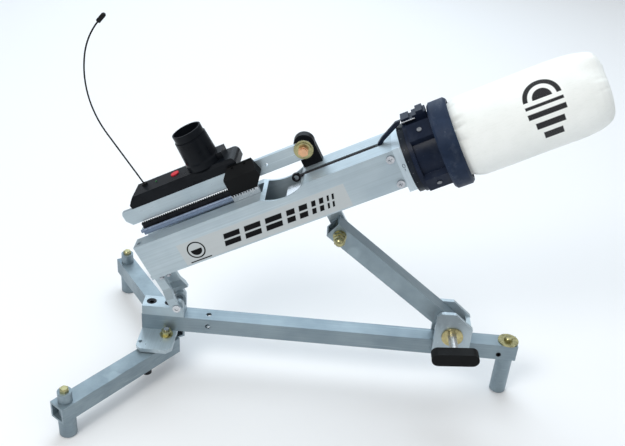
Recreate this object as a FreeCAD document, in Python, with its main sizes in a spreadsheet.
"""Remote-release training-dummy launcher on a folding tripod base.

Millimetres, +Z up, +X along the base bar towards the muzzle, +Y towards the far side.
The base is drawn from the rear end of the base bar, and every sub-part is then moved back along X,
so that the origin lies on the ground under the middle of the whole machine.
The launcher is drawn level in its own frame (X along the barrel, Z away from the bar) and is then
placed as one: that frame's origin is the lower rear edge of the housing, on the centre plane.
"""
import FreeCAD, Part
import math
import os

import Sketcher

VECTOR = FreeCAD.Vector
X_AXIS, Y_AXIS, Z_AXIS = VECTOR(1, 0, 0), VECTOR(0, 1, 0), VECTOR(0, 0, 1)

doc = FreeCAD.newDocument("launcher")

# ---------------------------------------------------------------- driving dimensions
DIMENSIONS = [
    # clearances
    ("middle_place", 258, "middle of the whole machine from the bar's rear end"),
    ("running_gap", 0.06, "radial play of a pin that turns in its hole"),
    ("moving_gap", 0.4, "free space between faces that move past each other"),
    ("seat_gap", 0.1, "radial play of a fixed fastener in its hole"),
    # square tube stock and plate stock
    ("stock_side", 25.4, "outer side of the square tube"),
    ("stock_wall", 3.1, "wall of the square tube"),
    ("plate_stock", 6.35, "thickness of the flat plates"),
    # base bar
    ("bar_length", 549, "length of the base bar"),
    ("bar_hole_place", 96.7, "distance of the spare cross hole from the rear end"),
    ("bar_hole_radius", 3.97, "spare cross hole"),
    ("roll_pin_place", 26, "distance of the roll pin from the front end"),
    ("roll_pin_radius", 3.6, "roll pin in the bar's side"),
    # legs and feet
    ("leg_clearance", 32, "underside of the legs above the ground"),
    ("leg_reach", 178, "distance from the leg pivot to its foot"),
    ("leg_tail", 14.3, "leg behind its pivot"),
    ("leg_angle", 125.8, "swing of a leg from straight ahead to its working place"),
    ("foot_radius", 9.525, "upper part of a round foot post"),
    ("foot_low_radius", 11.9, "foot post below its tube"),
    ("foot_rise", 16, "foot post above the leg"),
    ("foot_chamfer", 1.6, "chamfer at the bottom of a foot post"),
    ("front_foot_inset", 13, "front foot from the bar's front end"),
    ("foot_bolt_flats", 11.1, "hexagon across flats of the small bolts"),
    ("foot_bolt_head", 5.6, "head height of the small bolts"),
    ("foot_bolt_radius", 3.1, "shank of the small bolts"),
    ("fender_radius", 15, "washer on the front foot"),
    ("leg_spacer", 1.6, "space between a leg and the leg plate"),
    # leg plate
    ("leg_plate_length", 51.5, "leg plate along the bar"),
    ("leg_plate_width", 118, "leg plate across the bar"),
    ("leg_plate_corner", 7.5, "cut corners of the leg plate"),
    ("leg_pivot_place", 38, "leg pivots from the bar's rear end"),
    ("leg_pivot_beside", 10.3, "leg pivots from the bar's sides"),
    ("leg_bolt_radius", 3.97, "leg pivot bolt"),
    ("lock_reach", 39.1, "lock pin from the leg pivot"),
    ("lock_pin_radius", 2.6, "lock pin"),
    ("lock_spare_angle", 148.4, "swing at which the second lock hole lies"),
    ("lock_knob_radius", 7, "knob of the lock pin"),
    ("lock_knob_height", 8, "knob of the lock pin"),
    # pivot block
    ("block_length", 60.7, "pivot block along the bar"),
    ("block_height", 15.4, "pivot block above the bar"),
    ("block_inset", 1, "pivot block from the bar's rear end"),
    ("socket_radius", 7.2, "counterbore for a socket screw"),
    ("socket_depth", 9, "counterbore depth"),
    ("hinge_place", 53, "elevation hinge from the bar's rear end"),
    ("hinge_height", 20.35, "elevation hinge above the bar's top"),
    ("hinge_pin_radius", 4.76, "shoulder screws of the elevation hinge"),
    ("ear_radius", 8.7, "rounding of the pivot block's ears"),
    ("strap_width", 12.7, "near hinge strap along the barrel"),
    ("strap_end_radius", 7.6, "rounded lower end of a hinge strap"),
    ("far_strap_width", 24, "far hinge strap along the barrel"),
    # launcher
    ("tilt", 28.4, "barrel above the horizontal, degrees"),
    ("hinge_drop", 62.6, "elevation hinge below the housing's underside"),
    ("housing_length", 376.7, "housing along the barrel"),
    ("housing_width", 62, "housing across"),
    ("housing_height", 55, "housing height"),
    ("housing_wall", 3.2, "housing wall"),
    ("rear_slot_near", 7, "rear slot's near edge from the centre plane"),
    ("rear_slot_far", 20, "rear slot's far edge from the centre plane"),
    ("front_slot_width", 9, "front slot"),
    ("front_slot_end", 366, "front slot's closed end"),
    ("breech_place", 223.5, "middle of the breech window"),
    ("breech_length", 63, "breech window along the barrel"),
    ("breech_depth", 9, "breech window's depth in the side walls"),
    ("mount_plate_length", 30, "mount plate under the housing"),
    ("muzzle_thickness", 11, "muzzle plate along the barrel"),
    ("muzzle_drop", 8, "muzzle plate below the housing"),
    ("barrel_height", 22.3, "barrel axis above the housing's underside"),
    ("dial_radius", 45.6, "index ring"),
    ("dial_length", 8, "index ring along the barrel"),
    ("drum_radius", 42.5, "drum between its blocks"),
    ("drum_flange_radius", 47.3, "drum flange"),
    ("drum_flange_length", 5.5, "drum flange along the barrel"),
    ("drum_length", 36, "drum with its flange"),
    ("drum_block_radius", 50, "outer face of the drum's blocks"),
    ("drum_block_width", 26, "drum's blocks across"),
    ("collar_radius", 58, "rubber collar, outside"),
    ("collar_length", 25, "rubber collar along the barrel"),
    ("launch_tube_radius", 12.7, "launch tube, outside"),
    ("launch_tube_wall", 2.4, "launch tube wall"),
    ("launch_tube_reach", 205, "launch tube ahead of the muzzle plate"),
    ("dummy_radius", 51, "canvas dummy"),
    ("dummy_length", 212, "canvas dummy"),
    ("dummy_core_wall", 2.5, "dummy's liner tube"),
    # arm and receiver
    ("arm_thickness", 6.35, "arm bar across"),
    ("arm_height", 22.4, "arm bar height"),
    ("arm_floor", 70, "arm bar's lower edge above the housing's underside"),
    ("arm_near_face", 10, "arm bar's near face from the centre plane"),
    ("arm_tail", 9, "arm bar behind the housing's rear end"),
    ("arm_pivot_place", 265.5, "arm pivot from the housing's rear end"),
    ("arm_bolt_radius", 4, "arm pivot bolt"),
    ("receiver_length", 165, "receiver case along the arm"),
    ("receiver_width", 42, "receiver case across"),
    ("receiver_height", 15.4, "receiver case height"),
    ("receiver_wall", 2.2, "receiver case wall"),
    ("horn_radius", 22.3, "horn tube"),
    ("horn_height", 53, "horn above the receiver case"),
    ("horn_wall", 2, "horn wall"),
    ("button_radius", 6, "release test button"),
    ("whip_radius", 1.1, "antenna whip"),
    # strut and clamp
    ("strut_bolt_place", 262.6, "strut bolt from the housing's rear end"),
    ("strut_bolt_drop", 44.2, "strut bolt below the housing's underside"),
    ("strut_slope", 38.5, "strut below the horizontal, degrees"),
    ("strut_length", 230, "strut tube"),
    ("strut_bolt_radius", 4.76, "strut bolt"),
    ("clamp_bolt_place", 450, "clamp bolt from the bar's rear end"),
    ("clamp_bolt_rise", 13.8, "clamp bolt above the bar's top"),
    ("clamp_bolt_radius", 6.35, "clamp bolt"),
    ("clamp_reach", 54, "clamp knob's near face from the clamp plate"),
    ("knob_length", 66, "clamp knob"),
    ("knob_width", 19.5, "clamp knob"),
    ("knob_depth", 17, "clamp knob"),
]

sheet = doc.addObject("Spreadsheet::Sheet", "dims")
for row, (alias, number, meaning) in enumerate(DIMENSIONS, start=1):
    sheet.set(f"A{row}", meaning)
    sheet.set(f"B{row}", str(number))
    sheet.setAlias(f"B{row}", alias)
doc.recompute()


class Size:
    """A length: its value in millimetres and the sheet expression that it comes from."""

    def __init__(self, value, text):
        self.value = float(value)
        self.text = text

    @staticmethod
    def of(other):
        return other if isinstance(other, Size) else Size(other, f"({float(other):.6f})")

    def __add__(self, other):
        other = Size.of(other)
        return Size(self.value + other.value, f"({self.text} + {other.text})")

    def __sub__(self, other):
        other = Size.of(other)
        return Size(self.value - other.value, f"({self.text} - {other.text})")

    def __mul__(self, factor):
        return Size(self.value * factor, f"({self.text} * {factor:.6f})")

    def __truediv__(self, factor):
        return self * (1.0 / factor)

    def __neg__(self):
        return self * -1.0

    __radd__ = __add__
    __rmul__ = __mul__

    def __rsub__(self, other):
        return Size.of(other) - self


class Dimensions:
    """Every alias of the sheet as a Size."""


D = Dimensions()
for alias, number, meaning in DIMENSIONS:
    setattr(D, alias, Size(sheet.get(alias), f"dims.{alias}"))

# ---------------------------------------------------------------- building helpers
names_used = {}


def fresh(name):
    """An object name that isn't used yet."""
    names_used[name] = names_used.get(name, 0) + 1
    return f"{name}_{names_used[name]}"


def bind(target, path, length):
    """Sets a property to a Size and keeps it tied to the sheet."""
    target.setExpression(path, Size.of(length).text)


def place(target, corner, rotation=None):
    """Places an object with its base point tied to the sheet."""
    corner = [Size.of(c) for c in corner]
    turn = rotation or FreeCAD.Rotation()
    target.Placement = FreeCAD.Placement(VECTOR(*[c.value for c in corner]), turn)
    for letter, c in zip("xyz", corner):
        bind(target, f"Placement.Base.{letter}", c)
    return target


def box(size, corner, rotation=None):
    """A block with one corner at the given point."""
    solid = doc.addObject("Part::Box", fresh("block"))
    for path, length in zip(("Length", "Width", "Height"), size):
        bind(solid, path, length)
    return place(solid, corner, rotation)


TURN_TO = {
    "X": FreeCAD.Rotation(Y_AXIS, 90),
    "Y": FreeCAD.Rotation(X_AXIS, -90),
    "Z": FreeCAD.Rotation(),
}


def rod(radius, length, start, axis):
    """A cylinder that starts at a point and runs along +X, +Y or +Z."""
    solid = doc.addObject("Part::Cylinder", fresh("rod"))
    bind(solid, "Radius", radius)
    bind(solid, "Height", length)
    return place(solid, start, TURN_TO[axis])


def cone(first, second, length, start, axis):
    """A truncated cone that starts at a point and runs along +X, +Y or +Z."""
    solid = doc.addObject("Part::Cone", fresh("cone"))
    bind(solid, "Radius1", first)
    bind(solid, "Radius2", second)
    bind(solid, "Height", length)
    return place(solid, start, TURN_TO[axis])


def hexagon(flats, length, start, axis):
    """A hexagonal prism given by its width across flats."""
    solid = doc.addObject("Part::Prism", fresh("hexagon"))
    solid.Polygon = 6
    bind(solid, "Circumradius", Size.of(flats) * (1 / math.sqrt(3)))
    bind(solid, "Height", length)
    return place(solid, start, TURN_TO[axis])


def join(*solids):
    """Several overlapping solids as one."""
    if len(solids) == 1:
        return solids[0]
    made = doc.addObject("Part::MultiFuse", fresh("join"))
    made.Shapes = list(solids)
    return made


def cut(base, *tools):
    """A solid with other solids taken away."""
    made = doc.addObject("Part::Cut", fresh("cut"))
    made.Base = base
    made.Tool = join(*tools)
    return made


def group(*solids):
    """Separate solids that share one node."""
    made = doc.addObject("Part::Compound", fresh("group"))
    made.Links = list(solids)
    return made


def ring(outer, inner, length, start, axis):
    """A round tube or washer."""
    return cut(rod(outer, length, start, axis), rod(inner, length, start, axis))


def sketch_on(body, role, points):
    """A closed outline of straight edges on one of the body's own origin planes, tied to the sheet."""
    sketch = body.newObject("Sketcher::SketchObject", fresh("outline"))
    plane = [o for o in body.Origin.OriginFeatures if o.Role == role][0]
    sketch.AttachmentSupport = [(plane, "")]
    sketch.MapMode = "FlatFace"
    points = [(Size.of(a), Size.of(b)) for a, b in points]
    count = len(points)
    for i in range(count):
        (a, b), (c, d) = points[i], points[(i + 1) % count]
        sketch.addGeometry(Part.LineSegment(VECTOR(a.value, b.value, 0), VECTOR(c.value, d.value, 0)))
    for i in range(count):
        sketch.addConstraint(Sketcher.Constraint("Coincident", i, 2, (i + 1) % count, 1))
    for i, pair in enumerate(points):
        for kind, length in zip(("DistanceX", "DistanceY"), pair):
            index = sketch.addConstraint(Sketcher.Constraint(kind, -1, 1, i, 1, length.value))
            sketch.setExpression(f"Constraints[{index}]", length.text)
    return sketch


def plate(role, points, thickness, start):
    """A straight-edged outline padded both ways about its plane; start moves the middle of the plate."""
    body = doc.addObject("PartDesign::Body", fresh("plate"))
    sketch = sketch_on(body, role, points)
    pad = body.newObject("PartDesign::Pad", fresh("pad"))
    pad.Profile = sketch
    pad.Midplane = True
    bind(pad, "Length", thickness)
    return place(body, start)


finished = []
TO_MIDDLE = FreeCAD.Placement(VECTOR(-D.middle_place.value, 0, 0), FreeCAD.Rotation())


def part(label, solid, placement=None):
    """Declares a finished sub-part. The placement moves it from the frame that it was drawn in."""
    if solid.TypeId in ("Part::Box", "Part::Cylinder", "Part::Cone", "Part::Prism", "PartDesign::Body"):
        solid = group(solid)
    solid.Label = label
    solid.Placement = TO_MIDDLE.multiply(placement or FreeCAD.Placement())
    finished.append(solid)


def shaped(label, shape, placement):
    """A finished sub-part whose shape is worked out here, such as a swept whip."""
    solid = doc.addObject("Part::Feature", label)
    solid.Shape = shape
    solid.Label = label
    solid.Placement = TO_MIDDLE.multiply(placement)
    finished.append(solid)


# ---------------------------------------------------------------- shared places
half_stock = D.stock_side / 2
leg_pivot_spread = half_stock + D.leg_pivot_beside
leg_top = D.leg_clearance + D.stock_side
plate_bottom = leg_top + D.leg_spacer
bar_bottom = plate_bottom + D.plate_stock
bar_top = bar_bottom + D.stock_side
hinge_z = bar_top + D.hinge_height
clamp_z = bar_top + D.clamp_bolt_rise
front_foot_x = D.bar_length - D.front_foot_inset
strap_inner = half_stock + D.moving_gap
strap_outer = strap_inner + D.plate_stock
half_width = D.housing_width / 2

TILT = math.radians(D.tilt.value)
LAUNCHER_TURN = FreeCAD.Rotation(Y_AXIS, -D.tilt.value)
# The hinge lies right under the housing's rear end, so the housing's origin follows from the hinge.
housing_origin = VECTOR(D.hinge_place.value, 0, hinge_z.value) - LAUNCHER_TURN.multVec(
    VECTOR(0, 0, -D.hinge_drop.value)
)
LAUNCHER = FreeCAD.Placement(housing_origin, LAUNCHER_TURN)

strut_bolt = LAUNCHER.multVec(VECTOR(D.strut_bolt_place.value, 0, -D.strut_bolt_drop.value))
STRUT = FreeCAD.Placement(strut_bolt, FreeCAD.Rotation(Y_AXIS, D.strut_slope.value))
CLAMP = FreeCAD.Placement(VECTOR(D.clamp_bolt_place.value, 0, clamp_z.value), FreeCAD.Rotation())


# ---------------------------------------------------------------- base
def make_base_bar():
    tube = cut(
        box((D.bar_length, D.stock_side, D.stock_side), (0, -half_stock, bar_bottom)),
        box(
            (D.bar_length + 2, D.stock_side - 2 * D.stock_wall, D.stock_side - 2 * D.stock_wall),
            (-1, D.stock_wall - half_stock, bar_bottom + D.stock_wall),
        ),
    )
    post_hole = rod(D.foot_radius + D.seat_gap, D.stock_wall + 1, (front_foot_x, 0, bar_bottom - 1), "Z")
    bolt_hole = rod(
        D.foot_bolt_radius + D.seat_gap, D.stock_wall * 2,
        (front_foot_x, 0, bar_top - D.stock_wall * 1.5), "Z",
    )
    spare = rod(D.bar_hole_radius, D.stock_side + 2, (D.bar_hole_place, 0, bar_bottom - 1), "Z")
    spare_cross = rod(
        D.bar_hole_radius, D.stock_side + 2,
        (D.bar_hole_place, -half_stock - 1, bar_bottom + half_stock), "Y",
    )
    pin_hole = rod(
        D.roll_pin_radius + D.seat_gap,
        D.stock_side + 2,
        (D.bar_length - D.roll_pin_place, -half_stock - 1, bar_bottom + half_stock * 0.7),
        "Y",
    )
    screws = [
        rod(D.foot_bolt_radius + D.seat_gap, D.stock_wall + 2, (x, 0, bar_top - D.stock_wall - 1), "Z")
        for x in block_screw_places()
    ]
    part("base_bar", cut(tube, post_hole, bolt_hole, spare, spare_cross, pin_hole, *screws))


def block_screw_places():
    """The two socket screws of the pivot block, along the bar."""
    return [D.block_inset + 11.7, D.block_inset + 38.1]


def foot_post(top, shoulder):
    """A round post, wider below its tube, with a chamfered foot and a tapped hole in its top."""
    upper = rod(D.foot_radius, top - shoulder + 1, (0, 0, shoulder - 1), "Z")
    lower = rod(D.foot_low_radius, shoulder - D.foot_chamfer, (0, 0, D.foot_chamfer), "Z")
    toe = cone(D.foot_low_radius - D.foot_chamfer, D.foot_low_radius, D.foot_chamfer, (0, 0, 0), "Z")
    hole = rod(D.foot_bolt_radius + D.seat_gap, 20, (0, 0, top - 19), "Z")
    return cut(join(upper, lower, toe), hole)


def hex_bolt(flats, head, radius, length, top):
    """A hexagon bolt, head up, with its underside at the given height; its axis is the Z axis."""
    return join(
        hexagon(flats, head * 0.8, (0, 0, top), "Z"),
        cone(flats * 0.5, flats * 0.42, head * 0.2, (0, 0, top + head * 0.8), "Z"),
        rod(radius, length + 1, (0, 0, top - length), "Z"),
    )


def make_front_foot():
    at = FreeCAD.Placement(VECTOR(front_foot_x.value, 0, 0), FreeCAD.Rotation())
    part("front_foot", foot_post(bar_top - D.stock_wall, bar_bottom), at)
    washer = ring(D.fender_radius, D.foot_bolt_radius + D.seat_gap, 1.6, (0, 0, bar_top), "Z")
    shank = D.stock_wall + 16
    bolt = hex_bolt(D.foot_bolt_flats, D.foot_bolt_head, D.foot_bolt_radius, shank, bar_top + 1.6)
    part("front_foot_fixings", group(washer, bolt), at)
    pin = ring(
        D.roll_pin_radius,
        D.roll_pin_radius - 1.2,
        D.stock_side + 1,
        (D.bar_length - D.roll_pin_place, -half_stock - 0.5, bar_bottom + half_stock * 0.7),
        "Y",
    )
    bumper = rod(5, 4, (D.leg_plate_length + 9, 0, bar_bottom - 4), "Z")
    part("bar_stop_pins", group(pin, bumper))


def lock_hole_at(angle, side, depth):
    """A lock hole of the leg plate for a leg at that swing, on the near (-1) or far (+1) side."""
    turn = math.radians(angle.value)
    return rod(
        D.lock_pin_radius + D.moving_gap,
        depth + 1,
        (
            D.leg_pivot_place + D.lock_reach * math.cos(turn),
            side * (leg_pivot_spread + D.lock_reach * math.sin(turn)),
            plate_bottom - 1,
        ),
        "Z",
    )


def make_leg_plate():
    half = D.leg_plate_width / 2
    corner = D.leg_plate_corner
    length = D.leg_plate_length
    outline = [
        (corner, -half), (length - corner, -half), (length, corner - half), (length, half - corner),
        (length - corner, half), (corner, half), (0, half - corner), (0, corner - half),
    ]
    blank = plate("XY_Plane", outline, D.plate_stock, (0, 0, plate_bottom + D.plate_stock / 2))
    holes = []
    for side in (-1, 1):
        pivot = (D.leg_pivot_place, side * leg_pivot_spread, plate_bottom - 1)
        holes.append(rod(D.leg_bolt_radius + D.seat_gap, D.plate_stock + 2, pivot, "Z"))
        holes.append(lock_hole_at(D.leg_angle, side, D.plate_stock - 1))
        holes.append(lock_hole_at(D.lock_spare_angle, side, D.plate_stock + 1))
    part("leg_plate", cut(blank, *holes))


def make_leg_pivots():
    """Bolts up through the legs and the plate, with spacer washers, nuts and top washers."""
    bolts, nuts, washers = [], [], []
    plate_top = bar_bottom
    for side in (-1, 1):
        x, y = D.leg_pivot_place, side * leg_pivot_spread
        under = D.leg_clearance - D.moving_gap
        top = plate_top + 10.5
        head = hexagon(12.7, 5, (x, y, under - 5), "Z")
        bolts.append(join(head, rod(D.leg_bolt_radius, top - under + 1, (x, y, under - 1), "Z")))
        hole = D.leg_bolt_radius + D.seat_gap
        washers.append(ring(9.5, hole, 1.5, (x, y, plate_top), "Z"))
        spacer = D.leg_spacer - D.moving_gap
        washers.append(ring(8.5, hole, spacer, (x, y, plate_bottom - spacer), "Z"))
        nut = hexagon(12.7, 6.5, (x, y, plate_top + 1.5), "Z")
        nuts.append(cut(nut, rod(hole, 8, (x, y, plate_top + 1), "Z")))
    part("leg_pivot_bolts", group(*bolts))
    part("leg_pivot_nuts", group(*nuts, *washers))


def make_leg(side, word):
    """One rear leg, drawn straight ahead of its pivot and swung out to its working place."""
    turn = FreeCAD.Rotation(Z_AXIS, side * D.leg_angle.value)
    at = FreeCAD.Placement(VECTOR(D.leg_pivot_place.value, side * leg_pivot_spread.value, 0), turn)
    end = D.leg_reach + D.stock_side * 0.57
    length = end + D.leg_tail
    inner = D.stock_side - 2 * D.stock_wall
    tube = cut(
        box((length, D.stock_side, D.stock_side), (-D.leg_tail, -half_stock, D.leg_clearance)),
        box((length + 2, inner, inner), (-D.leg_tail - 1, inner * -0.5, D.leg_clearance + D.stock_wall)),
    )
    through = D.stock_side + 2
    holes = [
        rod(D.leg_bolt_radius + D.running_gap, through, (0, 0, D.leg_clearance - 1), "Z"),
        rod(D.foot_radius + D.seat_gap, through, (D.leg_reach, 0, D.leg_clearance - 1), "Z"),
        rod(D.lock_pin_radius + D.running_gap, through, (D.lock_reach, 0, D.leg_clearance - 1), "Z"),
    ]
    part(f"{word}_leg", cut(tube, *holes), at)
    foot_at = FreeCAD.Placement(at.multVec(VECTOR(D.leg_reach.value, 0, 0)), turn)
    top = leg_top + D.foot_rise
    part(f"{word}_foot", foot_post(top, D.leg_clearance), foot_at)
    bolt = hex_bolt(D.foot_bolt_flats, D.foot_bolt_head, D.foot_bolt_radius, 16, top)
    part(f"{word}_foot_bolt", bolt, foot_at)
    make_lock_pin(word, FreeCAD.Placement(at.multVec(VECTOR(D.lock_reach.value, 0, 0)), turn))


def make_lock_pin(word, at):
    """The knob-headed pin that is pushed up into the leg plate to lock a leg."""
    tip = plate_bottom - D.moving_gap
    knob_top = D.leg_clearance - D.plate_stock - D.moving_gap
    pin = rod(D.lock_pin_radius, tip - knob_top + 4, (0, 0, knob_top - 4), "Z")
    knob_bottom = knob_top - D.lock_knob_height
    knob = join(
        rod(D.lock_knob_radius, D.lock_knob_height - 1.5, (0, 0, knob_bottom + 1.5), "Z"),
        cone(D.lock_knob_radius - 1.5, D.lock_knob_radius, 1.5, (0, 0, knob_bottom), "Z"),
    )
    part(f"{word}_lock_pin", join(pin, knob), at)


def make_pivot_block():
    start = D.block_inset
    end = start + D.block_length
    ear_start = D.hinge_place - D.ear_radius
    solid = join(
        box((D.block_length, D.stock_side, D.block_height), (start, -half_stock, bar_top)),
        box((D.ear_radius * 2, D.stock_side, D.hinge_height - 2), (ear_start, -half_stock, bar_top + 2)),
        rod(D.ear_radius, D.stock_side, (D.hinge_place, -half_stock, hinge_z), "Y"),
    )
    slot = box(
        (end - ear_start + 12, D.stock_side - 2 * D.plate_stock, D.hinge_height + D.ear_radius),
        (ear_start - 0.5, D.plate_stock - half_stock, bar_top + D.block_height - 4),
    )
    pin_start = (D.hinge_place, -half_stock - 1, hinge_z)
    holes = [slot, rod(D.hinge_pin_radius + D.seat_gap, D.stock_side + 2, pin_start, "Y")]
    screws = []
    for x in block_screw_places():
        top = bar_top + D.block_height
        holes.append(rod(D.socket_radius, D.socket_depth + 1, (x, 0, top - D.socket_depth), "Z"))
        holes.append(rod(D.foot_bolt_radius + D.seat_gap, D.block_height + 2, (x, 0, bar_top - 1), "Z"))
        head = rod(D.socket_radius - 0.7, 7.6, (x, 0, top - D.socket_depth), "Z")
        shank_length = D.block_height - D.socket_depth + D.stock_wall + 3
        shank = rod(D.foot_bolt_radius, shank_length + 1, (x, 0, top - D.socket_depth - shank_length), "Z")
        screws.append(cut(join(head, shank), hexagon(6, 5, (x, 0, top - D.socket_depth + 3.6), "Z")))
    part("pivot_block", cut(solid, *holes))
    part("pivot_block_screws", group(*screws))


def make_hinge_pins():
    """Two shoulder screws, one through each hinge strap into its ear."""
    pins = []
    inner = half_stock - D.plate_stock
    for side in (-1, 1):
        shank_length = strap_outer + D.moving_gap - inner
        shank_start = inner if side > 0 else -inner - shank_length
        shank = rod(D.hinge_pin_radius, shank_length, (D.hinge_place, shank_start, hinge_z), "Y")
        head_start = strap_outer + D.moving_gap if side > 0 else -strap_outer - D.moving_gap - 1.6
        head = rod(D.hinge_pin_radius + 1, 1.6, (D.hinge_place, head_start, hinge_z), "Y")
        recess_start = head_start + 0.6 if side > 0 else head_start - 1
        recess = rod(D.hinge_pin_radius - 2, 2, (D.hinge_place, recess_start, hinge_z), "Y")
        pins.append(cut(join(shank, head), recess))
    part("hinge_pins", group(*pins))


# ---------------------------------------------------------------- launcher
def make_hinge_strap(side, word, width, forward):
    """A joggled strap: narrow at the mount plate, stepped out beside the pivot block's ear."""
    drop = D.hinge_drop
    upper_outer = half_stock
    top = -D.plate_stock
    low_start, high_start = D.hinge_drop - 17, D.hinge_drop - 31
    outline = [
        (side * upper_outer, top), (side * upper_outer, -high_start), (side * strap_outer, -low_start),
        (side * strap_outer, -drop - D.strap_end_radius), (side * strap_inner, -drop - D.strap_end_radius),
        (side * strap_inner, -low_start - 2), (side * (upper_outer - D.plate_stock), -high_start - 2),
        (side * (upper_outer - D.plate_stock), top),
    ]
    middle = forward + width / 2 - D.strap_end_radius
    blank = plate("YZ_Plane", outline, width, (middle, 0, 0))
    front = middle + width / 2
    # The lower end is rounded about the hinge: everything outside the round end is taken away.
    waste_length = D.strap_end_radius + 4
    span = D.plate_stock + 6
    y_start = strap_inner - 3 if side > 0 else -strap_outer - 3
    round_end = cut(
        box(
            (D.strap_end_radius * 2 + 60, span, waste_length),
            (-D.strap_end_radius - 30, y_start, -drop - waste_length),
        ),
        rod(D.strap_end_radius, span, (0, y_start, -drop), "Y"),
    )
    hole = rod(D.hinge_pin_radius + D.running_gap, span, (0, y_start, -drop), "Y")
    waste = [round_end, hole]
    if front.value > D.strap_end_radius.value + 1:
        # the wide strap is cut away below its hump, so that only the round end reaches the hinge
        waste.append(box(
            (60, span, D.strap_end_radius * 2.4),
            (D.strap_end_radius, y_start, -drop - D.strap_end_radius * 1.2),
        ))
    part(f"{word}_hinge_strap", cut(blank, *waste), LAUNCHER)


def mount_screw_places():
    """The mount plate's screws, from the housing's rear end."""
    return [6, 17]


def make_mount_plate():
    """The plate between the straps and the housing; returns its screws."""
    thickness = D.plate_stock
    width = D.housing_width * 0.64
    blank = box((D.mount_plate_length, width, thickness), (-D.strap_end_radius, -width / 2, -thickness))
    screws, holes = [], []
    for x in mount_screw_places():
        for side in (-1, 1):
            y = side * (half_stock + 4.5)
            holes.append(rod(2.5, thickness + 2, (x, y, -thickness - 1), "Z"))
            screws.append(join(
                rod(3.6, 3, (x, y, -thickness - 3), "Z"),
                rod(2.4, thickness + 2.5, (x, y, -thickness - 0.5), "Z"),
            ))
    part("mount_plate", cut(blank, *holes), LAUNCHER)
    return screws


def breech_cutter():
    """The round cutter of the breech window: a circle through the window's ends and bottom."""
    half = D.breech_length.value / 2
    depth = D.breech_depth.value
    radius = (half * half + depth * depth) / (2 * depth)
    centre_height = D.housing_height - D.breech_depth + radius
    return rod(radius, D.housing_width + 4, (D.breech_place, -half_width - 2, centre_height), "Y")


def make_housing():
    wall = D.housing_wall
    tube = cut(
        box((D.housing_length, D.housing_width, D.housing_height), (0, -half_width, 0)),
        box(
            (D.housing_length + 2, D.housing_width - 2 * wall, D.housing_height - 2 * wall),
            (-1, wall - half_width, wall),
        ),
    )
    breech_start = D.breech_place - D.breech_length / 2
    roof = D.housing_height - wall - 1
    slot_width = D.rear_slot_near + D.rear_slot_far
    rear_slot = box((breech_start + 2, slot_width, wall + 2), (-1, -D.rear_slot_near, roof))
    front_slot = box(
        (D.front_slot_end - D.breech_place, D.front_slot_width, wall + 2),
        (D.breech_place, D.front_slot_width * -0.36, roof),
    )
    lip_hole = rod(3.6, wall + 2, (4.2 + 3.2, -D.housing_width * 0.35, roof), "Z")
    screw_holes = [
        rod(2.6, D.housing_width + 2, (D.housing_length - 6.4, -half_width - 1, z), "Y")
        for z in muzzle_screw_heights()
    ]
    mount_holes = [
        rod(2.5, wall + 2, (x, side * (half_stock + 4.5), -1), "Z")
        for x in mount_screw_places() for side in (-1, 1)
    ]
    mount_holes += [rod(2.5, wall + 2, (x, y, -1), "Z") for x, y in lug_screw_places()]
    openings = (rear_slot, front_slot, breech_cutter(), lip_hole, *screw_holes, *mount_holes)
    part("housing", cut(tube, *openings), LAUNCHER)


def lug_screw_places():
    """The two screws that hold the strut lug's foot to the housing's underside."""
    return [(D.strut_bolt_place + step, half_stock + D.moving_gap - 12) for step in (-8, 8)]


def muzzle_screw_heights():
    return [D.housing_height * 0.136, D.housing_height * 0.81]


def make_muzzle_plate():
    """The end plate with its plug inside the housing, and the four screws that hold the plug."""
    wall = D.housing_wall
    plug_start = D.housing_length - 14
    inner = D.housing_width - 2 * wall - 0.4
    solid = join(
        box(
            (D.muzzle_thickness, D.housing_width + 1, D.housing_height + D.muzzle_drop + 1),
            (D.housing_length, -half_width - 0.5, -D.muzzle_drop),
        ),
        box((15, inner, D.housing_height - 2 * wall - 0.4), (plug_start, inner * -0.5, wall + 0.2)),
    )
    bore = rod(
        D.launch_tube_radius + D.seat_gap, D.muzzle_thickness + 20,
        (plug_start - 1, 0, D.barrel_height), "X",
    )
    taps = []
    screws = []
    for z in muzzle_screw_heights():
        for side in (-1, 1):
            x = D.housing_length - 6.4
            taps.append(rod(2.6, 14, (x, side * (half_width - 6.5) - 7, z), "Y"))
            head_start = half_width if side > 0 else -half_width - 2.6
            shank_start = half_width - 10 if side > 0 else -half_width - 0.5
            cross_start = head_start + 1.2 if side > 0 else head_start - 0.2
            screw = join(
                rod(5.4, 2.6, (x, head_start, z), "Y"),
                rod(2.5, 10.5, (x, shank_start, z), "Y"),
            )
            cross = [
                box((5.2, 1.6, 1.1), (x - 2.6, cross_start, z - 0.55)),
                box((1.1, 1.6, 5.2), (x - 0.55, cross_start, z - 2.6)),
            ]
            screws.append(cut(screw, *cross))
    part("muzzle_plate", cut(solid, bore, *taps), LAUNCHER)
    part("muzzle_screws", group(*screws), LAUNCHER)


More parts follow.
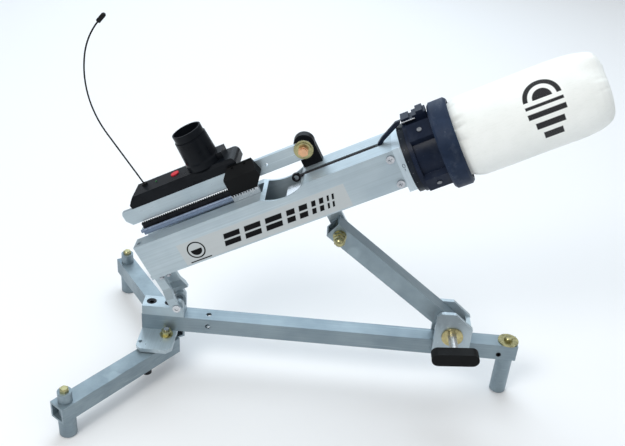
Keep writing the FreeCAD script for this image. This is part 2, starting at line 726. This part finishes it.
def make_launch_tube():
    start = D.housing_length - 130
    tube = ring(
        D.launch_tube_radius,
        D.launch_tube_radius - D.launch_tube_wall,
        D.launch_tube_reach + D.muzzle_thickness + 130,
        (start, 0, D.barrel_height),
        "X",
    )
    part("launch_tube", tube, LAUNCHER)
    chamber = cut(
        box((26, 34, 30), (start - 26, -17, D.barrel_height - 15)),
        rod(3.1, 30, (start - 28, 0, D.barrel_height), "X"),
    )
    part("firing_chamber", chamber, LAUNCHER)
    striker = join(
        rod(9, 44, (start - 76, 0, D.barrel_height), "X"),
        rod(2.4, 7, (start - 33, 0, D.barrel_height), "X"),
    )
    part("striker", striker, LAUNCHER)
    spring_length = 60
    coil = ring(8.4, 6.4, spring_length, (start - 76 - spring_length, 0, D.barrel_height), "X")
    part("striker_spring", coil, LAUNCHER)
    backstop = box(
        (8, D.housing_width - 2 * D.housing_wall, 34),
        (start - 84 - spring_length, D.housing_wall - half_width, D.housing_wall),
    )
    part("spring_backstop", backstop, LAUNCHER)


def make_dial():
    start = D.housing_length + D.muzzle_thickness + D.moving_gap
    body = ring(D.dial_radius, D.launch_tube_radius + 6, D.dial_length, (start, 0, D.barrel_height), "X")
    dot_reach = D.dial_radius + 1.6
    dots = []
    for angle in (97, 108):
        turn = math.radians(angle)
        dot_height = D.barrel_height + dot_reach * math.cos(turn) - 1.5
        dots.append(rod(1.1, 3, (start + D.dial_length / 2, -dot_reach * math.sin(turn), dot_height), "Z"))
    part("index_ring", cut(body, *dots), LAUNCHER)


def drum_start():
    return D.housing_length + D.muzzle_thickness + D.dial_length + 2 * D.moving_gap


def make_drum():
    """The launch cup: flange, drum, four blocks with rivets, and a hub on the launch tube."""
    start = drum_start()
    hub_gap = D.seat_gap
    solid = join(
        rod(D.drum_flange_radius, D.drum_flange_length, (start, 0, D.barrel_height), "X"),
        rod(D.drum_radius, D.drum_length, (start, 0, D.barrel_height), "X"),
        *drum_blocks(start),
    )
    bore = rod(D.launch_tube_radius + hub_gap, D.drum_length + 2, (start - 1, 0, D.barrel_height), "X")
    part("launch_drum", cut(solid, bore, *rivet_tools(start, 2.1)), LAUNCHER)


BLOCK_ANGLES = (30, 120, 210, 300)


def turned_about_barrel(solid, angle):
    """Turns a solid that was drawn above the barrel axis about that axis."""
    axis_point = VECTOR(0, 0, D.barrel_height.value)
    turn = FreeCAD.Placement(VECTOR(), FreeCAD.Rotation(X_AXIS, angle), axis_point)
    holder = group(solid)
    holder.Placement = turn
    return holder


def drum_blocks(start):
    length = D.drum_length - D.drum_flange_length
    return [
        turned_about_barrel(
            box(
                (length, D.drum_block_width, D.drum_block_radius - 20),
                (start + D.drum_flange_length - 0.5, D.drum_block_width * -0.5, D.barrel_height + 20),
            ),
            angle,
        )
        for angle in BLOCK_ANGLES
    ]


def rivet_tools(start, radius, head=False):
    x = start + D.drum_flange_length + (D.drum_length - D.drum_flange_length) * 0.5
    made = []
    for angle in BLOCK_ANGLES:
        shank = rod(radius, 8, (x, 0, D.barrel_height + D.drum_block_radius - 8), "Z")
        if head:
            shank = join(shank, rod(3.1, 1.2, (x, 0, D.barrel_height + D.drum_block_radius), "Z"))
        made.append(turned_about_barrel(shank, angle))
    return made


def make_collar():
    start = drum_start() + D.drum_length
    lip = 3
    outer = join(
        cone(D.collar_radius - lip, D.collar_radius, lip, (start, 0, D.barrel_height), "X"),
        rod(D.collar_radius, D.collar_length - 2 * lip, (start + lip, 0, D.barrel_height), "X"),
        cone(
            D.collar_radius, D.collar_radius - lip, lip,
            (start + D.collar_length - lip, 0, D.barrel_height), "X",
        ),
    )
    pocket = rod(D.dummy_radius + D.moving_gap, D.collar_length, (start + 4, 0, D.barrel_height), "X")
    bore = rod(D.launch_tube_radius + D.seat_gap, D.collar_length + 2, (start - 1, 0, D.barrel_height), "X")
    part("rubber_collar", cut(outer, pocket, bore), LAUNCHER)


def make_drum_latch():
    """The catch on top of the drum, its pin, and the lever that reaches back into the housing's slot."""
    start = drum_start()
    floor = D.barrel_height + D.drum_flange_radius + 0.3
    pad_floor = D.barrel_height + D.drum_radius + 0.3
    blocks = join(
        box((D.drum_length - 3, 20, 7), (start + 1, -2, floor)),
        box((9, 20, 10.5), (start + D.drum_length - 14, -2, floor)),
        box(
            (D.drum_length - D.drum_flange_length - 2.5, 16, floor - pad_floor + 1),
            (start + D.drum_flange_length + 0.4, -2, pad_floor),
        ),
    )
    notch = box((4, 22, 4), (start + 12, -3, floor + 4))
    pin_hole = rod(1.35, 26, (start + 3, -5, floor + 3.5), "Y")
    wire = join(
        rod(1.25, 24, (start + 3, -4, floor + 3.5), "Y"),
        rod(1.25, 17, (start + 2, -4.2, floor + 3.5), "X"),
    )
    part("drum_fixings", group(wire, *rivet_tools(start, 2.0, head=True)), LAUNCHER)
    roof, slot_end = D.housing_height, D.front_slot_end
    lever_points = [
        (slot_end - 5, roof - 2), (slot_end + 2, roof + 3), (start - 1, floor + 2.5),
        (start + 0.6, floor + 6), (start - 6, floor + 6), (slot_end, roof + 7.5),
        (slot_end - 7, roof + 2), (slot_end - 7, roof - 2),
    ]
    lever = plate("XZ_Plane", lever_points, 5, (0, 1.4, 0))
    part("drum_catch", group(cut(blocks, notch, pin_hole), lever), LAUNCHER)


def make_slide_parts():
    """What lies in the rear slot: guide rod, slide channel and the toothed rack."""
    breech_start = D.breech_place - D.breech_length / 2
    roof = D.housing_height
    rail_start = 12
    length = breech_start - 44
    channel = cut(
        box((length, 16.4, 5), (rail_start, -3, roof + 0.2)),
        box((length + 2, 13.4, 5), (rail_start - 1, -1.5, roof + 2.2)),
    )
    part("slide_rails", group(channel, rod(2.5, length + 4, (8, 1.4, roof + 4.9), "X")), LAUNCHER)
    tooth = 3.4
    count = int(length.value // tooth)
    rack_top = D.arm_floor - D.moving_gap
    strip = box((length, 5, rack_top - roof - 2.4), (rail_start, D.arm_near_face - 5.4, roof + 2.4))
    gullets = []
    for i in range(count):
        x = rail_start + tooth * (i + 0.25)
        gullets.append(box((tooth * 0.5, 7, 3), (x, D.arm_near_face - 6.4, rack_top - 2)))
    part("rack_strip", cut(strip, *gullets), LAUNCHER)
    breech_end = breech_start + D.breech_length
    pull_rod = join(
        rod(2.2, D.front_slot_end - breech_end - 4, (breech_end - 8, 1.4, roof - 1.6), "X"),
        ring(6, 3.4, 4, (breech_end - 13, -0.6, roof - 1.6), "Y"),
    )
    part("pull_rod", pull_rod, LAUNCHER)


def make_latch():
    """The hexagonal grip that slides on the near rail, with its toothed jaw."""
    near = -8
    back = D.arm_near_face - 1.2
    low = D.housing_height + 10.2
    step = D.arm_floor + 2
    rack_near = D.arm_near_face - 5.4
    points = [(152.5, low), (191.2, low), (202, 79), (196.5, 100), (161, 100), (152.7, 90)]
    thickness = back - near
    grip = plate("XZ_Plane", points, thickness, (0, near + thickness / 2, 0))
    slope = box((60, 28, 20), (147, near - 8, 82.5), FreeCAD.Rotation(X_AXIS, 36))
    rack_room = box((60, 8, step - low + 1), (147, rack_near - D.moving_gap, low - 1))
    sockets = [rod(1.6, 6, (x, back - 4.5, 96), "Z") for x in (168, 186)]
    part("latch_grip", cut(grip, slope, rack_room, *sockets), LAUNCHER)
    jaw_low = D.housing_height + D.moving_gap
    jaw_start, jaw_length = 152.5, 39
    jaw = box((jaw_length, 5, low - jaw_low - 0.2), (jaw_start, near - 0.6, jaw_low))
    tooth = 3.9
    teeth = []
    for i in range(9):
        x = jaw_start + tooth * (i + 0.3)
        teeth.append(box((tooth * 0.55, 7, 2.6), (x, near - 1, low - 2.4)))
    part("latch_jaw", cut(jaw, *teeth), LAUNCHER)


def make_arm():
    near = D.arm_near_face
    top = D.arm_floor + D.arm_height
    pivot_height = D.arm_floor + D.arm_height * 0.58
    end_radius = D.arm_height * 0.42
    points = [
        (2 - D.arm_tail, top), (-D.arm_tail, top - 4),
        (-D.arm_tail, D.arm_floor + 9), (7 - D.arm_tail, D.arm_floor),
        (D.arm_pivot_place, D.arm_floor), (D.arm_pivot_place + end_radius, D.arm_floor + 5),
        (D.arm_pivot_place + end_radius, top - 4), (D.arm_pivot_place + 4, top),
    ]
    bar = plate("XZ_Plane", points, D.arm_thickness, (0, near + D.arm_thickness / 2, 0))
    pivot_start = (D.arm_pivot_place, near - 1, pivot_height)
    hole = rod(D.arm_bolt_radius + D.running_gap, D.arm_thickness + 2, pivot_start, "Y")
    small = rod(2.2, D.arm_thickness + 2, (211, near - 1, top - 11), "Y")
    part("arm_bar", cut(bar, hole, small), LAUNCHER)
    shelf_near = near + D.arm_thickness
    shelf = join(
        box((140, 3, 16), (20, shelf_near, top - 16)),
        box((140, D.receiver_width - D.arm_thickness - 6, 3), (20, shelf_near, top - 3)),
    )
    part("receiver_shelf", shelf, LAUNCHER)


def make_arm_pivot():
    pivot_height = D.arm_floor + D.arm_height * 0.58
    far = D.arm_near_face + D.arm_thickness + D.moving_gap
    thickness = 12
    radius = 14
    base_start = D.arm_pivot_place - 12
    block = join(
        box((27, thickness, pivot_height - D.housing_height + 2), (base_start, far, D.housing_height)),
        rod(radius, thickness, (D.arm_pivot_place + 1.5, far, pivot_height + 3), "Y"),
    )
    pivot_start = (D.arm_pivot_place, far - 1, pivot_height)
    hole = rod(D.arm_bolt_radius + D.seat_gap, thickness + 2, pivot_start, "Y")
    part("arm_pivot_block", cut(block, hole), LAUNCHER)
    near = D.arm_near_face - D.moving_gap
    washers = [
        ring(13, D.arm_bolt_radius + D.seat_gap, 1.8, (D.arm_pivot_place, near - 1.8, pivot_height), "Y"),
        ring(10.5, D.arm_bolt_radius + D.seat_gap, 1.6, (D.arm_pivot_place, near - 3.4, pivot_height), "Y"),
    ]
    head = near - 3.4
    bolt = join(
        hexagon(12.7, 5, (D.arm_pivot_place, head - 5, pivot_height), "Y"),
        rod(D.arm_bolt_radius + 1.2, 1.5, (D.arm_pivot_place, head - 6.4, pivot_height), "Y"),
        rod(
            D.arm_bolt_radius, far + thickness + 7 - head,
            (D.arm_pivot_place, head - 1, pivot_height), "Y",
        ),
    )
    part("arm_pivot_bolt", bolt, LAUNCHER)
    nut = cut(
        hexagon(12.7, 5.5, (D.arm_pivot_place, far + thickness, pivot_height), "Y"),
        rod(D.arm_bolt_radius + D.seat_gap, 8, (D.arm_pivot_place, far + thickness - 1, pivot_height), "Y"),
    )
    part("arm_pivot_washers", group(nut, *washers), LAUNCHER)


# ---------------------------------------------------------------- receiver on the arm
receiver_floor = D.arm_floor + D.arm_height
receiver_top = receiver_floor + D.receiver_height
receiver_start = Size.of(10)
receiver_near = D.arm_near_face - 0.6
horn_x, horn_y = 127, D.arm_near_face + 23
button_x, light_x = 80, 50
nose = 7


def make_receiver():
    wall = D.receiver_wall
    base_height = D.receiver_height * 0.4
    end = receiver_start + D.receiver_length
    rounding = D.receiver_height * 0.48
    points = [
        (receiver_start, receiver_floor), (end, receiver_floor), (end, receiver_top - rounding),
        (end - rounding, receiver_top), (receiver_start + nose, receiver_top),
        (receiver_start - 1, receiver_floor + 6),
    ]
    block = plate("XZ_Plane", points, D.receiver_width, (0, receiver_near + D.receiver_width / 2, 0))
    corner = (end - rounding, receiver_near, receiver_top - rounding)
    outer = join(block, rod(rounding, D.receiver_width, corner, "Y"))
    inside_length = D.receiver_length - nose - 2 * wall - rounding * 0.5
    inside = box(
        (inside_length, D.receiver_width - 2 * wall, D.receiver_height - 2 * wall),
        (receiver_start + nose + wall, receiver_near + wall, receiver_floor + wall),
    )
    lower_half = box(
        (D.receiver_length + 10, D.receiver_width + 4, base_height + 1),
        (receiver_start - 3, receiver_near - 2, receiver_floor - 1),
    )
    upper_half = box(
        (D.receiver_length + 10, D.receiver_width + 4, D.receiver_height),
        (receiver_start - 3, receiver_near - 2, receiver_floor + base_height),
    )
    shell = cut(outer, inside)
    base = doc.addObject("Part::Common", fresh("common"))
    base.Base, base.Tool = shell, lower_half
    part("receiver_base", base, LAUNCHER)
    cover = doc.addObject("Part::Common", fresh("common"))
    cover.Base, cover.Tool = shell, upper_half
    holes = [
        rod(D.button_radius + D.moving_gap, wall + 2, (button_x, horn_y + 3, receiver_top - wall - 1), "Z"),
        rod(1.6, wall + 2, (light_x, horn_y + 3, receiver_top - wall - 1), "Z"),
        rod(2.3, wall + 2, whip_foot(receiver_top - wall - 1), "Z"),
        rod(D.horn_radius - 8.8, wall + 2, (horn_x, horn_y, receiver_top - wall - 1), "Z"),
    ]
    bevel = box(
        (D.receiver_length + 20, 24, 12), (receiver_start - 10, receiver_near - 4, receiver_top - 8),
        FreeCAD.Rotation(X_AXIS, 45),
    )
    part("receiver_cover", cut(cover, bevel, *holes), LAUNCHER)
    board = box(
        (92, D.receiver_width - 2 * wall - 3, 1.6),
        (receiver_start + nose + wall + 2, receiver_near + wall + 1.5, receiver_floor + wall + 1.2),
    )
    board_top = receiver_floor + wall + 2.8
    light = rod(1.4, receiver_top + 0.8 - board_top, (light_x, horn_y + 3, board_top), "Z")
    part("receiver_board", group(board, light), LAUNCHER)
    button = join(
        rod(D.button_radius, 4.8, (button_x, horn_y + 3, receiver_top - wall - 1.3), "Z"),
        rod(D.button_radius + 1.4, 0.9, (button_x, horn_y + 3, receiver_top - wall - 1.3), "Z"),
    )
    part("release_button", button, LAUNCHER)


def make_horn():
    """The round sounder on the cover: foot with a tongue in front, tube and a stepped mouth."""
    base = receiver_top
    foot_radius = D.horn_radius + 2.4
    foot = rod(foot_radius, 8, (horn_x, horn_y, base), "Z")
    tongue = box((31, 26, 9), (horn_x, horn_y - 8, base))
    neck = cone(foot_radius, D.horn_radius + 1.2, 3, (horn_x, horn_y, base + 8), "Z")
    body = cone(
        D.horn_radius + 1.2, D.horn_radius, D.horn_height - 22, (horn_x, horn_y, base + 11), "Z",
    )
    mouth = rod(D.horn_radius - 1.4, 11, (horn_x, horn_y, base + D.horn_height - 11), "Z")
    inner = cone(
        D.horn_radius - D.horn_wall - 2, D.horn_radius - D.horn_wall - 1.4, D.horn_height,
        (horn_x, horn_y, base + 9), "Z",
    )
    lead = rod(D.horn_radius - 10.8, 12, (horn_x, horn_y, base - 1), "Z")
    part("horn", cut(join(foot, tongue, neck, body, mouth), inner, lead), LAUNCHER)


def whip_foot(height):
    return (receiver_start + 21, horn_y + 7, height)


def make_whip():
    """The antenna: a stiff whip of a straight run and two tangent arcs, with a gland and a tip."""
    foot = VECTOR(receiver_start.value + 21, (horn_y + 7).value, receiver_top.value)
    radius = D.whip_radius.value
    lean = math.radians(-5.5)
    straight = 88
    start = foot + VECTOR(0, 0, -1.5)
    knee = foot + VECTOR(math.sin(lean) * straight, 0, math.cos(lean) * straight)
    start_dir = VECTOR(math.sin(lean), 0, math.cos(lean))
    edges = [Part.LineSegment(start, knee).toShape()]
    point, heading = knee, lean
    bends = ((150.0, math.radians(44)), (100.0, math.radians(30)))
    for arc_radius, turn in bends:
        def beside(angle):
            return VECTOR(math.cos(angle), 0, -math.sin(angle)) * arc_radius
        centre = point + beside(heading)
        middle = centre - beside(heading + turn / 2)
        end = centre - beside(heading + turn)
        edges.append(Part.Arc(point, middle, end).toShape())
        point, heading = end, heading + turn
    path = Part.Wire(edges)
    circle = Part.Wire([Part.Circle(start, start_dir, radius).toShape()])
    whip = path.makePipeShell([circle], True, True)
    tip_dir = VECTOR(math.sin(heading), 0, math.cos(heading))
    tip = Part.makeCylinder(3.1, 12, point - tip_dir * 3, tip_dir)
    tip = tip.fuse(Part.makeCone(3.1, 1.9, 2, point + tip_dir * 9, tip_dir)).cut(whip)
    gland_radius = 4.2
    gland = Part.makeCylinder(gland_radius, 3, foot).cut(whip)
    antenna = Part.makeCompound([whip, tip.removeSplitter(), gland])
    shaped("antenna", antenna, LAUNCHER)


# ---------------------------------------------------------------- dummy
def make_dummy():
    start = drum_start() + D.drum_length + 4.4
    bore_radius = D.launch_tube_radius + D.moving_gap
    liner_outer = bore_radius + D.dummy_core_wall
    bore_depth = D.launch_tube_reach - 30
    end_length = D.dummy_length - 12
    solid = join(
        cone(D.dummy_radius - 3, D.dummy_radius, 6, (start, 0, D.barrel_height), "X"),
        rod(D.dummy_radius, end_length - 6, (start + 6, 0, D.barrel_height), "X"),
        cone(D.dummy_radius, D.dummy_radius - 11, 12, (start + end_length, 0, D.barrel_height), "X"),
    )
    bore = rod(liner_outer, bore_depth + 1, (start - 1, 0, D.barrel_height), "X")
    part("canvas_dummy", cut(solid, bore), LAUNCHER)
    liner = ring(liner_outer, bore_radius, bore_depth, (start, 0, D.barrel_height), "X")
    part("dummy_liner", liner, LAUNCHER)


# ---------------------------------------------------------------- strut, clamp and knob
def make_strut_lug(mount_screws):
    """The round-ended lug under the housing that carries the strut's upper end, and its bolt and nut."""
    x, z = D.strut_bolt_place, -D.strut_bolt_drop
    near = half_stock + D.moving_gap
    lug = join(
        box((21, D.plate_stock, D.strut_bolt_drop), (x - 10.5, near, z)),
        rod(10.5, D.plate_stock, (x, near, z), "Y"),
        box((26, 30, 4.8), (x - 13, near + D.plate_stock - 30, -4.8)),
    )
    holes = [rod(D.strut_bolt_radius + D.seat_gap, 12, (x, near - 2, z), "Y")]
    screws = []
    for screw_x, screw_y in lug_screw_places():
        holes.append(rod(2.5, 8, (screw_x, screw_y, -6), "Z"))
        screws.append(join(
            rod(3.8, 2.8, (screw_x, screw_y, -7.6), "Z"), rod(2.4, 8, (screw_x, screw_y, -5), "Z")
        ))
    part("strut_lug", cut(lug, *holes), LAUNCHER)
    far = near + D.plate_stock
    part("underside_screws", group(*screws, *mount_screws), LAUNCHER)
    head = join(
        hexagon(14.3, 6, (x, far + 1.8, z), "Y"),
        rod(D.strut_bolt_radius, far + 3 + half_stock + 12, (x, -half_stock - 12, z), "Y"),
    )
    part("strut_bolt", head, LAUNCHER)
    inner = D.stock_side - 2 * D.stock_wall
    bolt_hole = D.strut_bolt_radius + D.seat_gap
    washers = [
        ring(10.5, bolt_hole, 1.8, (x, far, z), "Y"),
        ring(9.2, bolt_hole, 1.6, (x, -half_stock - D.moving_gap - 1.6, z), "Y"),
        ring(D.strut_bolt_radius + 1.7, bolt_hole, inner - 1, (x, inner * -0.5 + 0.5, z), "Y"),
    ]
    nut_face = -half_stock - D.moving_gap - 1.6
    dome_radius = 6.8
    dome = doc.addObject("Part::Sphere", fresh("dome"))
    bind(dome, "Radius", dome_radius)
    place(dome, (x, nut_face - 14, z))
    flange = hexagon(16, 7, (x, nut_face - 7, z), "Y")
    acorn = join(flange, hexagon(14.3, 6.8, (x, nut_face - 13.8, z), "Y"), dome)
    hollow = rod(D.strut_bolt_radius + D.seat_gap, 13.4, (x, nut_face - 12.4, z), "Y")
    part("strut_nut", group(cut(acorn, hollow), *washers), LAUNCHER)


def make_strut():
    """The strut tube, drawn along +X from its bolt and turned down to the clamp."""
    inner = D.stock_side - 2 * D.stock_wall
    tube = cut(
        box((D.strut_length, D.stock_side, D.stock_side), (-half_stock, -half_stock, -half_stock)),
        box((D.strut_length + 2, inner, inner), (-half_stock - 1, inner * -0.5, inner * -0.5)),
    )
    hole = rod(D.strut_bolt_radius + D.running_gap, D.stock_side + 2, (0, -half_stock - 1, 0), "Y")
    part("strut_tube", cut(tube, hole), STRUT)


def clamp_points():
    """A clamp plate about its bolt: bevelled at the top, straight down beside the bar."""
    rise, drop, back, front = 37.6, -34, -25.6, 27.4
    return [(back, drop), (front, drop), (front, 14.6), (0.5, rise), (-20, rise), (back, 31.4)]


def make_clamp():
    near = half_stock + D.moving_gap
    plates = []
    for side in (-1, 1):
        middle = side * (near + D.plate_stock / 2)
        blank = plate("XZ_Plane", clamp_points(), D.plate_stock, (0, middle, 0))
        hole_start = (0, middle - D.plate_stock / 2 - 1, 0)
        hole = rod(D.clamp_bolt_radius + D.running_gap, D.plate_stock + 2, hole_start, "Y")
        plates.append(cut(blank, hole))
    web = box((D.plate_stock, near * 2, 18), (27.4 - D.plate_stock - 1.2, -near, -3.5))
    far_face = near + D.plate_stock
    nut = cut(
        hexagon(19, 9, (0, far_face, 0), "Y"),
        rod(D.clamp_bolt_radius + D.running_gap, 11, (0, far_face - 1, 0), "Y"),
    )
    part("clamp_plates", group(*plates, web, nut), CLAMP)
    make_knob(near + D.plate_stock)


def make_knob(plate_face):
    """The T-shaped clamp knob on its bolt, with a loose washer against the near plate."""
    face = -plate_face - D.moving_gap
    washer = ring(15.4, D.clamp_bolt_radius + D.seat_gap, 2, (0, face - 2, 0), "Y")
    knob_far = -plate_face - D.clamp_reach + D.knob_depth
    bolt_length = plate_face * 2 + 11 + (D.clamp_reach - D.knob_depth) + 8
    bolt = rod(D.clamp_bolt_radius, bolt_length, (0, knob_far - 8, 0), "Y")
    part("clamp_bolt", group(bolt, washer), CLAMP)
    half = D.knob_length / 2
    grip = box(
        (D.knob_length - D.knob_width, D.knob_depth, D.knob_width),
        (D.knob_width / 2 - half, knob_far - D.knob_depth, D.knob_width * -0.5),
    )
    ends = [
        rod(
            D.knob_width / 2, D.knob_depth,
            (side * (half - D.knob_width / 2), knob_far - D.knob_depth, 0), "Y",
        )
        for side in (-1, 1)
    ]
    turn = FreeCAD.Placement(CLAMP.Base, FreeCAD.Rotation(Y_AXIS, -5))
    part("clamp_knob", cut(join(grip, *ends), rod(D.clamp_bolt_radius, 9, (0, knob_far - 8, 0), "Y")), turn)


# ---------------------------------------------------------------- assembly
make_base_bar()
make_front_foot()
make_leg_plate()
make_leg_pivots()
for leg_side, leg_word in ((-1, "near"), (1, "far")):
    make_leg(leg_side, leg_word)
make_pivot_block()
make_hinge_pins()
make_hinge_strap(-1, "near", D.strap_width, Size.of(0))
make_hinge_strap(1, "far", D.far_strap_width, Size.of(0))
screws_of_mount = make_mount_plate()
make_housing()
make_muzzle_plate()
make_launch_tube()
make_dial()
make_drum()
make_collar()
make_drum_latch()
make_slide_parts()
make_latch()
make_arm()
make_arm_pivot()
make_receiver()
make_horn()
make_whip()
make_dummy()
make_strut_lug(screws_of_mount)
make_strut()
make_clamp()

doc.recompute()

failed = [o.Label for o in doc.Objects if "Invalid" in o.State or "Error" in o.State]
if failed:
    raise RuntimeError(f"objects that failed to recompute: {failed}")
for solid in finished:
    if solid.Shape.isNull() or not solid.Shape.isValid():
        raise RuntimeError(f"sub-part {solid.Label} has no valid shape")

os.makedirs("parts", exist_ok=True)
for solid in finished:
    solid.Shape.exportStep(f"parts/{solid.Label}.step")
    print(f"{solid.Label:22s} solids {len(solid.Shape.Solids):2d}  volume {solid.Shape.Volume:10.1f}")
print(len(finished), "sub-parts")
